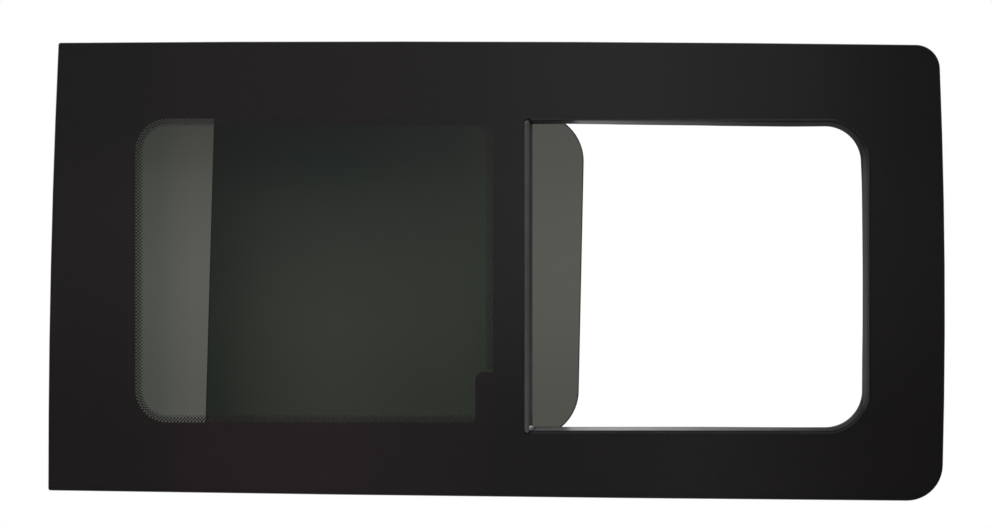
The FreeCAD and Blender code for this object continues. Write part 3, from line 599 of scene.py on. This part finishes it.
# %% Section and drift of the lip
TRIM_SECTION = [
    (9.0, -3.80), (8.9, -4.10), (8.6, -4.26), (8.1, -4.34), (7.4, -4.35), (6.9, -4.28), (6.6, -4.12),
    (6.40, -3.70), (6.25, -3.20), (5.9, -2.95), (5.5, -2.98), (5.2, -3.25), (4.95, -3.45),
    (4.4, -2.98), (3.4, -1.98), (2.4, -0.98), (1.4, 0.02), (0.85, 0.62), (0.45, 1.25), (0.15, 2.1),
    (0.0, 3.2), (0.0, 5.2),
    (0.2, 5.65), (0.6, 5.85), (1.5, 5.85), (1.85, 5.6), (2.0, 5.1), (2.0, 1.2), (13.0, 1.2),
    (13.0, 0.0), (9.0, 0.0),
]
TRIM_WIDTH = 9 * MM
VENT_ROUND = 47 * MM
HEAD_DRIFT = [(0.047, 2.6), (0.090, 2.8), (0.134, 2.3), (0.160, 1.8), (0.211, 1.15), (0.262, 0.60),
              (0.288, 0.10), (0.339, -0.5), (0.378, -0.9), (0.416, -0.6), (0.424, -0.5)]
SILL_DRIFT = [(0.047, 0.0), (0.260, -0.1), (0.339, 0.35), (0.391, 0.5), (0.424, 0.4)]
FRONT_DRIFT = [(0.115, -0.1), (0.155, 0.1), (0.195, 0.6), (0.260, 0.75), (0.309, 0.4), (0.360, -0.1),
               (0.385, -0.6), (0.411, -1.6)]


def drawn_from(stops, place):
    """The level at a place, on straight runs between (place, level) stops."""
    for (p0, v0), (p1, v1) in zip(stops, stops[1:]):
        if place <= p1:
            return v0 + (v1 - v0) * max(0.0, (place - p0) / (p1 - p0))
    return stops[-1][1]


def moved_out(drift):
    """Carry the clear edge outwards by drift millimetres, and the outer edge not at all."""
    def change(u, y):
        return u + drift * MM * max(0.0, 1 - u / TRIM_WIDTH), y
    return change


print("lip section:", len(TRIM_SECTION), "points")

# %% [markdown]
# The stations start behind the foot of the bead, go along the sill, round the lower front corner, up
# the front end, round the upper corner and back along the head. They stand close in the corners and
# wide apart on the straight runs.

# %% Opening lip
TURN_STEPS = 20
RUN_STEP = 12 * MM
LIP_TUCK = 2.2 * MM  # its ends run in under the upright bead
lip_end = vent_rear - LIP_TUCK
turn_x = vent_front - VENT_ROUND
turn_low, turn_high = vent_sill + VENT_ROUND, vent_head - VENT_ROUND
runs = int((turn_x - vent_rear) / RUN_STEP)
climbs = int((turn_high - turn_low) / RUN_STEP)
stations = []
for i in range(runs):
    x = lip_end + (turn_x - lip_end) * i / runs
    stations.append(((x, vent_sill), (0, -1), moved_out(drawn_from(SILL_DRIFT, x))))
turns = [(turn_low, 270, SILL_DRIFT[-1][1], FRONT_DRIFT[0][1]),
         (turn_high, 0, FRONT_DRIFT[-1][1], HEAD_DRIFT[-1][1])]
for hub_z, first, starts, ends in turns:
    if hub_z == turn_high:
        for i in range(1, climbs):
            z = turn_low + (turn_high - turn_low) * i / climbs
            stations.append(((vent_front, z), (1, 0), moved_out(drawn_from(FRONT_DRIFT, z))))
    for i in range(TURN_STEPS + 1):
        angle = math.radians(first + 90 * i / TURN_STEPS)
        out = (math.cos(angle), math.sin(angle))
        spot = (turn_x + out[0] * VENT_ROUND, hub_z + out[1] * VENT_ROUND)
        stations.append((spot, out, moved_out(starts + (ends - starts) * i / TURN_STEPS)))
for i in range(1, runs + 1):
    x = turn_x + (lip_end - turn_x) * i / runs
    stations.append(((x, vent_head), (0, 1), moved_out(drawn_from(HEAD_DRIFT, x))))
vertices, faces = sweep(stations, TRIM_SECTION)
trim = new_piece("vent_lip", vertices, faces, lip_rubber, "frame", smooth=True)
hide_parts("opening_trim")
print("lip faces:", len(faces))

# %% [markdown]
# The upright bead on the opening's rear side is a second section: a broad round bead, a narrow
# groove, and a thin lip that wipes the sliding pane. Its ends are trimmed round, so near each end the
# outer part of the section is pinched in and sinks towards the glass.

# %% Upright bead
SEAL_SECTION = [
    (9.9, -2.90), (9.8, -3.35), (9.5, -3.80), (9.0, -4.18), (8.3, -4.40), (7.5, -4.48), (6.7, -4.48),
    (5.9, -4.42), (5.1, -4.24), (4.4, -3.92), (3.7, -3.40), (3.1, -2.75), (2.6, -1.90),
    (2.2, -0.90), (2.05, 0.2), (1.95, 1.2), (1.7, 2.0), (1.2, 2.7), (0.5, 3.4), (-0.2, 4.1), (-0.7, 4.7),
    (-0.9, 5.0), (-0.8, 5.4), (-0.2, 5.7), (0.8, 5.8), (2.0, 5.85), (4.0, 5.85), (5.0, 1.2), (29.9, 1.2),
    (29.9, 0.0), (9.9, 0.0),
]
seal_low, seal_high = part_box("centre_seal")
END_ROUND = 6.5 * MM
END_SINK = 3.4 * MM
END_STEPS = 8
BEAD_WIDTH = 9.9 * MM
LIP_START = 1.2 * MM
LIP_CLEAR, LIP_STEP = 0.35 * MM, 0.2 * MM  # the wiping lip starts over the sill, in one short step
lip_low = sill_line + LIP_CLEAR


def pinched(distance, inside):
    """The section's change at that distance from an end."""
    drop = END_ROUND - min(distance, END_ROUND)
    limit = BEAD_WIDTH - END_ROUND + math.sqrt(max(END_ROUND ** 2 - drop ** 2, 0.0))
    sink = END_SINK * (drop / END_ROUND) ** 2

    def change(u, y):
        if y < 0:
            u = min(u, limit)
            y = min(y + sink, 0.0)
        elif not inside:
            y = min(y, LIP_START)
        return u, y
    return change


heights = []
for i in range(END_STEPS + 1):
    heights.append(seal_low.z + END_ROUND * (1 - math.cos(math.pi / 2 * i / END_STEPS)))
heights += [lip_low, lip_low + LIP_STEP]
heights += [seal_high.z - h + seal_low.z for h in reversed(heights[:END_STEPS + 1])]
heights.sort()
stations = []
for z in heights:
    distance = min(z - seal_low.z, seal_high.z - z)
    stations.append(((vent_rear, z), (-1, 0), pinched(distance, z > lip_low)))
vertices, faces = sweep(stations, SEAL_SECTION)
bead = new_piece("upright_bead", vertices, faces, bead_rubber, "frame", smooth=True)
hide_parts("centre_seal")
print("bead stations:", len(stations))

# %% [markdown]
# Where the bead meets the lip at the foot of the opening, the fitter closes the joint with a dab of
# sealer, which has spread into a smeared foot with one pale drop on top. The drop's pale grey is a
# painted highlight, and the foot's grey, lighter than the rubber, is partly painted glow round it.
# Both are irregular domes: rings that are pushed in and out a little.

# %% Sealer dab
def sealer_and_highlight(low, high):
    recipe = new_material("sealer_and_highlight")
    lump = recipe.grain(1.2, detail=2.0)
    # the greys paint a highlight on the drop and a soft glow on the foot
    recipe.finish(Base_Color=recipe.mix(lump, grey(low), grey(high)), Roughness=0.18 + 0.1 * lump,
                  Coat_Weight=0.6 * lump, Normal=recipe.bump(lump, 0.1, 0.5))
    return recipe.owner


def dome(middle, size, face, depth):
    """A lumpy dome: its top at y = face, and its rim depth further in."""
    (mid_x, mid_z), rings, sides = middle, 6, 20
    vertices, faces = [(mid_x, face, mid_z)], []
    for ring in range(1, rings + 1):
        tilt = math.pi / 2 * ring / rings
        for k in range(sides):
            angle = 2 * math.pi * k / sides
            bulge = 1 + 0.12 * math.sin(2 * angle + 0.7) + 0.07 * math.sin(3 * angle)
            vertices.append((mid_x + size[0] * bulge * math.sin(tilt) * math.cos(angle),
                             face + depth * (1 - math.cos(tilt)),
                             mid_z + size[1] * bulge * math.sin(tilt) * math.sin(angle)))
    for k in range(sides):
        m = (k + 1) % sides
        faces.append((0, 1 + m, 1 + k))
        for ring in range(rings - 1):
            a, b = 1 + ring * sides, 1 + (ring + 1) * sides
            faces.append((a + k, a + m, b + m, b + k))
    faces.append(tuple(range(1 + (rings - 1) * sides, 1 + rings * sides)))
    return vertices, faces


# The drop's pale greys are a painted highlight; the foot's lighter grey is partly painted glow.
SEALER = {  # place from the opening's lower rear corner, half sizes, top and depth, in millimetres; greys
    "highlight_dab": ((-1.6, 0.7), (1.7, 1.5), -4.3, 3.2, (0.42, 0.62)),
    "sealer_foot_and_glow": ((-1.2, -0.9), (4.3, 3.9), -3.9, 3.6, (0.05, 0.14)),
}
for name, (spot, size, top, depth, greys) in SEALER.items():
    middle = (vent_rear + spot[0] * MM, vent_sill + spot[1] * MM)
    vertices, faces = dome(middle, (size[0] * MM, size[1] * MM), top * MM, depth * MM)
    new_piece(name, vertices, faces, sealer_and_highlight(*greys), "frame", smooth=True)
    print(name, "at x %.4f z %.4f" % middle)

# %% [markdown]
# The sliding pane's rim is pencil ground and blackened, which draws a dark line round its free end.
# It is one more section carried along, this time round the pane's closed outline: straight sides
# that lean forward at the top, and round corners, large in front and small behind.

# %% Pane rim
def rounded(corners, radii, turn=10):
    """Points and outward directions round a closed outline, walked anticlockwise."""
    stops = []
    count = len(corners)
    for i, radius in enumerate(radii):
        spot = Vector(corners[i])
        back = (Vector(corners[i - 1]) - spot).normalized()
        ahead = (Vector(corners[(i + 1) % count]) - spot).normalized()
        half = math.acos(max(-1.0, min(1.0, back.dot(ahead)))) / 2
        hub = spot + (back + ahead).normalized() * radius / math.sin(half)
        start = math.atan2(*reversed(spot + back * radius / math.tan(half) - hub))
        swing = math.pi - 2 * half
        for k in range(turn + 1):
            angle = start + swing * k / turn
            way = Vector((math.cos(angle), math.sin(angle)))
            stops.append((hub + way * radius, way))
    return stops


pane_low, pane_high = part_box("sliding_glass")
PANE_SHOWS = 63.5 * MM
PANE_LENGTH = 476.7 * MM
LEAN_FRONT, LEAN_REAR = 4.5 * MM, 5.8 * MM  # each way from the middle height
PANE_ROUND_FRONT, PANE_ROUND_REAR = 61 * MM, 4 * MM
pane_front = vent_rear + PANE_SHOWS
pane_rear = pane_front - PANE_LENGTH
pane_corners = [(pane_rear - LEAN_REAR, pane_low.z), (pane_front - LEAN_FRONT, pane_low.z),
                (pane_front + LEAN_FRONT, pane_high.z), (pane_rear + LEAN_REAR, pane_high.z)]
RIM_SECTION = [(-1.35, -0.02), (-0.9, -0.06), (-0.35, 0.25), (-0.06, 0.9), (0.0, 2.0), (-0.06, 3.1),
               (-0.35, 3.75), (-0.9, 4.06), (-1.35, 4.02)]
vertices, faces = [], []
stops = rounded(pane_corners, [PANE_ROUND_REAR, PANE_ROUND_FRONT, PANE_ROUND_FRONT, PANE_ROUND_REAR])
count = len(RIM_SECTION)
for spot, way in stops:
    for across, depth in RIM_SECTION:
        place = spot + way * across * MM
        vertices.append((place.x, pane_low.y + depth * MM, place.y))
for ring in range(len(stops)):
    for i in range(count - 1):
        a, b = ring * count, (ring + 1) % len(stops) * count
        faces.append((a + i, a + i + 1, b + i + 1, b + i))


def blackened_rim():
    recipe = new_material("blackened_rim")
    grit = recipe.grain(0.3)
    wear = recipe.grain(14.0, detail=3.0)
    recipe.finish(Base_Color=recipe.mix(wear, grey(0.008), grey(0.020)), Roughness=0.40 + 0.2 * grit,
                  Normal=recipe.bump(grit, 0.02))
    return recipe.owner


new_piece("pane_rim", vertices, faces, blackened_rim(), "sliding_pane", smooth=True)
print("rim stations:", len(stops))

# %% [markdown]
# The frame is extruded aluminium with a black powder coat. The powder melts into a skin with a fine
# orange peel, which a small noise in the normal gives. The cut joints show as hairlines: at the
# mitres of the two square corners, and where the bends are butted on.

# %% Powder coat
bend_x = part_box("top_rail")[1].x
bend_z = [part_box("front_jamb")[0].z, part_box("front_jamb")[1].z]
HAIRLINE, SEAM_SOFT = 0.22 * MM, 0.1 * MM
SEAM_DEPTH = 8.0  # against the peel


def powder_coat():
    recipe = new_material("powder_coat")
    peel = recipe.grain(0.9, detail=3.0)
    wear = recipe.grain(30.0, detail=5.0)
    x, z = recipe.place("X"), recipe.place("Z")
    head_mitre = abs(x - rear_line + (z - head_line))
    sill_mitre = abs(x - rear_line - (z - sill_line))
    seams = [head_mitre, sill_mitre, abs(x - bend_x), abs(z - bend_z[0]), abs(z - bend_z[1])]
    at_rear = 1 - x.between(rear_line, rear_line + SEAM_SOFT)
    ahead = x.between(bend_x - MM, bend_x - MM + SEAM_SOFT)
    zones = [at_rear, at_rear, 1.0, ahead, ahead]
    seam = None
    for gap, zone in zip(seams, zones):
        line = (1 - gap.between(0.0, HAIRLINE)) * zone
        seam = line if seam is None else seam.larger(line)
    coat = recipe.mix(wear.between(0.3, 0.7), grey(0.018), grey(0.024))
    height = 0.5 * peel - SEAM_DEPTH * seam
    recipe.finish(Base_Color=recipe.mix(seam, coat, grey(0.003)), Roughness=0.36 + 0.12 * wear,
                  Normal=recipe.bump(height, 0.02))
    return recipe.owner


dress(powder_coat(), "top_rail", "bottom_rail", "front_jamb", "rear_jamb",
      "top_front_bend", "bottom_front_bend", "catch_plate")
print("joints at x %.3f and z %.3f, %.3f" % (bend_x, *bend_z))

# %% [markdown]
# The run channel is lined with flock: short fibres glued upright on rubber. It swallows light except
# at grazing angles, where the fibre ends catch it, which is what a sheen lobe is for.

# %% Flock
def flock():
    recipe = new_material("flock")
    fibre = recipe.grain(0.18, detail=1.0)
    patch = recipe.grain(9.0, detail=3.0)
    recipe.finish(Base_Color=recipe.mix(patch, grey(0.008), grey(0.016)), Roughness=0.95,
                  Sheen_Weight=0.7, Sheen_Roughness=0.45, Normal=recipe.bump(fibre, 0.12))
    return recipe.owner


dress(flock(), "channel_liner")
print("liner dressed")

# %% [markdown]
# Polyurethane adhesive squeezes out past the flange as a glossy, uneven bead. It is a ring carried
# round the flange's outline, and its radius and place wander with a few slow waves.

# %% Adhesive
def adhesive_skin():
    recipe = new_material("adhesive_skin")
    lump = recipe.grain(7.0, detail=3.0)
    recipe.finish(Base_Color=recipe.mix(lump, grey(0.010), grey(0.015)), Roughness=0.26 + 0.2 * lump,
                  Normal=recipe.bump(lump, 0.25, 0.7))
    return recipe.owner


adhesive = adhesive_skin()
dress(adhesive, "adhesive_bed")
print("adhesive dressed")

# %% [markdown]
# The bead's centre line uses the same stretches as the dot band does: straight runs along the flange
# and two round ones at the front corners. The rear corners are square, because the lengths of the
# frame are mitred there.

# %% Squeezed bead
BEAD_REACH = 36.2 * MM  # from the channel's daylight to the flange's edge
BEAD_RADIUS = 1.25 * MM
BEAD_WANDER, BEAD_SWELL = 0.12 * MM, 0.14
BEAD_FLOOR = 0.02 * MM  # it keeps this far off the print
BEAD_STEP = 3 * MM
BEAD_SIDES = 8
front_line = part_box("front_jamb")[0].x
reach_low_z, reach_high_z = sill_line - BEAD_REACH, head_line + BEAD_REACH
reach_rear, reach_front = rear_line - BEAD_REACH, front_line + BEAD_REACH
BEND_ROUND = 40 * MM + BEAD_REACH  # the channel's own bend, and the flange outside it
walk = [
    ("line", (reach_rear, reach_low_z), (1, 0), reach_front - reach_rear - BEND_ROUND),
    ("turn", (reach_front - BEND_ROUND, reach_low_z + BEND_ROUND), BEND_ROUND, (270, 360)),
    ("line", (reach_front, reach_low_z + BEND_ROUND), (0, 1), reach_high_z - reach_low_z - 2 * BEND_ROUND),
    ("turn", (reach_front - BEND_ROUND, reach_high_z - BEND_ROUND), BEND_ROUND, (0, 90)),
    ("line", (reach_front - BEND_ROUND, reach_high_z), (-1, 0), reach_front - reach_rear - BEND_ROUND),
    ("line", (reach_rear, reach_high_z), (0, -1), reach_high_z - reach_low_z),
]
centre_line = []
for stretch in walk:
    count = max(2, int(length_of(stretch) / BEAD_STEP))
    centre_line += [along(stretch, length_of(stretch) * i / count) for i in range(count)]

vertices, faces = [], []
total = len(centre_line)
for i, (x, z) in enumerate(centre_line):
    before, after = Vector(centre_line[i - 1]), Vector(centre_line[(i + 1) % total])
    way = (after - before).normalized()
    out = Vector((way.y, -way.x))
    slow = math.sin(i * 0.13) + 0.6 * math.sin(i * 0.31 + 1.0) + 0.4 * math.sin(i * 0.83 + 2.0)
    radius = BEAD_RADIUS * (1 + BEAD_SWELL * slow)
    for k in range(BEAD_SIDES):
        angle = 2 * math.pi * k / BEAD_SIDES
        u = radius * math.cos(angle) + BEAD_WANDER * slow
        y = max(radius + radius * math.sin(angle), BEAD_FLOOR)
        vertices.append((x + out.x * u, y, z + out.y * u))
for i in range(total):
    for k in range(BEAD_SIDES):
        a, b = i * BEAD_SIDES, (i + 1) % total * BEAD_SIDES
        m = (k + 1) % BEAD_SIDES
        faces.append((a + k, a + m, b + m, b + k))
new_piece("squeezed_bead", vertices, faces, adhesive, "frame", smooth=True)
print("bead of %d rings" % total)

# %% [markdown]
# The small fittings: cleats and joiners are mill aluminium with the streaks of the extrusion press,
# the shoes and the carrier are black nylon, and the catch is a moulding with a fine sparked texture.

# %% Fittings
def mill_aluminium():
    recipe = new_material("mill_aluminium")
    streak = recipe.grain(0.4, detail=2.0, stretch=(30.0, 1.0, 1.0))
    recipe.finish(Base_Color=recipe.mix(streak, grey(0.50), grey(0.62)), Metallic=1.0,
                  Roughness=0.32 + 0.16 * streak, Normal=recipe.bump(streak, 0.01))
    return recipe.owner


def nylon():
    recipe = new_material("nylon")
    skin = recipe.grain(0.6)
    recipe.finish(Base_Color=recipe.mix(skin, grey(0.022), grey(0.030)), Roughness=0.40 + 0.15 * skin,
                  Normal=recipe.bump(skin, 0.02))
    return recipe.owner


def sparked_moulding():
    recipe = new_material("sparked_moulding")
    spark = recipe.grain(0.35, detail=3.0)
    touch = recipe.grain(12.0, detail=3.0)
    recipe.finish(Base_Color=recipe.mix(touch, grey(0.016), grey(0.022)), Roughness=0.44 + 0.1 * touch,
                  Normal=recipe.bump(spark, 0.05))
    return recipe.owner


aluminium = mill_aluminium()
dress(aluminium, "top_rear_cleat", "bottom_rear_cleat", "rail_joiners")
black_nylon = nylon()
dress(black_nylon, "pane_carrier", "rear_bottom_shoe", "front_bottom_shoe", "rear_top_guide",
      "front_top_guide", "catch_bolt")
moulding = sparked_moulding()
dress(moulding, "catch_housing", "thumb_slide")
dress(bead_rubber, "top_open_stop", "bottom_open_stop")
print("fittings dressed")

# %% [markdown]
# Two screws hold the catch's plate to the rail. Each is turned from its profile: a low domed head on
# a washer face, and the cross recess is pressed into the dome as four lobes.

# %% Plate screws
def zinc_black():
    recipe = new_material("zinc_black")
    turned = recipe.grain(0.2)
    recipe.finish(Base_Color=recipe.mix(turned, grey(0.05), grey(0.09)), Metallic=1.0,
                  Roughness=0.30 + 0.15 * turned, Normal=recipe.bump(turned, 0.008))
    return recipe.owner


plate_low, plate_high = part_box("catch_plate")
SCREW_RADIUS = 3.6 * MM
SCREW_RISE = 1.7 * MM
SCREW_SPREAD = 13 * MM
SCREW_SIDES, SCREW_RINGS = 32, 10
RECESS_REACH = 0.55
RECESS_DEPTH = 1.1 * MM
RECESS_TURN = 0.3  # the two screws stopped at different angles
WASHER_RISE = 0.25 * MM
screw_z = (plate_low.z + sill_line) / 2
vertices, faces = [], []
for side in (-1, 1):
    middle_x = (plate_low.x + plate_high.x) / 2 + side * SCREW_SPREAD
    base = len(vertices)
    vertices.append((middle_x, plate_high.y + SCREW_RISE - RECESS_DEPTH, screw_z))
    for ring in range(1, SCREW_RINGS + 1):
        share = ring / SCREW_RINGS
        for k in range(SCREW_SIDES):
            angle = 2 * math.pi * k / SCREW_SIDES
            lobe = max(0.0, math.cos(4 * (angle - RECESS_TURN * side))) ** 0.5
            sunk = RECESS_DEPTH if share < RECESS_REACH * (0.35 + 0.65 * lobe) else 0.0
            crown = SCREW_RISE * (1 - share ** 2.6) if share < 1 else 0.0
            vertices.append((middle_x + SCREW_RADIUS * share * math.cos(angle),
                             plate_high.y + max(crown + WASHER_RISE * (share < 1) - sunk, 0.0),
                             screw_z + SCREW_RADIUS * share * math.sin(angle)))
    for k in range(SCREW_SIDES):
        m = (k + 1) % SCREW_SIDES
        faces.append((base, base + 1 + k, base + 1 + m))
        for ring in range(SCREW_RINGS - 1):
            a, b = base + 1 + ring * SCREW_SIDES, base + 1 + (ring + 1) * SCREW_SIDES
            faces.append((a + k, b + k, b + m, a + m))
new_piece("plate_screws", vertices, faces, zinc_black(), "frame")
print("screws at z %.4f" % screw_z)

# %% [markdown]
# The solids come with hard edges, which catch no light, and a real edge is always a little broken.
# Their meshes stay as they came: a weld modifier and a narrow bevel modifier on each metal and
# moulded solid break its edges for the picture.

# %% Broken edges
WELD_REACH = 0.01 * MM
SHARP_FROM = math.radians(40)
BEVELS = {  # millimetres
    0.25: ("top_rail", "bottom_rail", "front_jamb", "rear_jamb", "top_front_bend", "bottom_front_bend",
           "catch_plate", "top_rear_cleat", "bottom_rear_cleat", "rail_joiners"),
    0.3: ("catch_housing", "thumb_slide", "top_open_stop", "bottom_open_stop"),
}
for width, names in BEVELS.items():
    for name in names:
        weld = nodes[name].modifiers.new("weld", "WELD")
        weld.merge_threshold = WELD_REACH
        bevel = nodes[name].modifiers.new("broken_edge", "BEVEL")
        bevel.width = width * MM
        bevel.segments = 2
        bevel.limit_method = "ANGLE"
        bevel.angle_limit = SHARP_FROM
        bevel.harden_normals = True
print("bevelled:", sum(len(names) for names in BEVELS.values()))
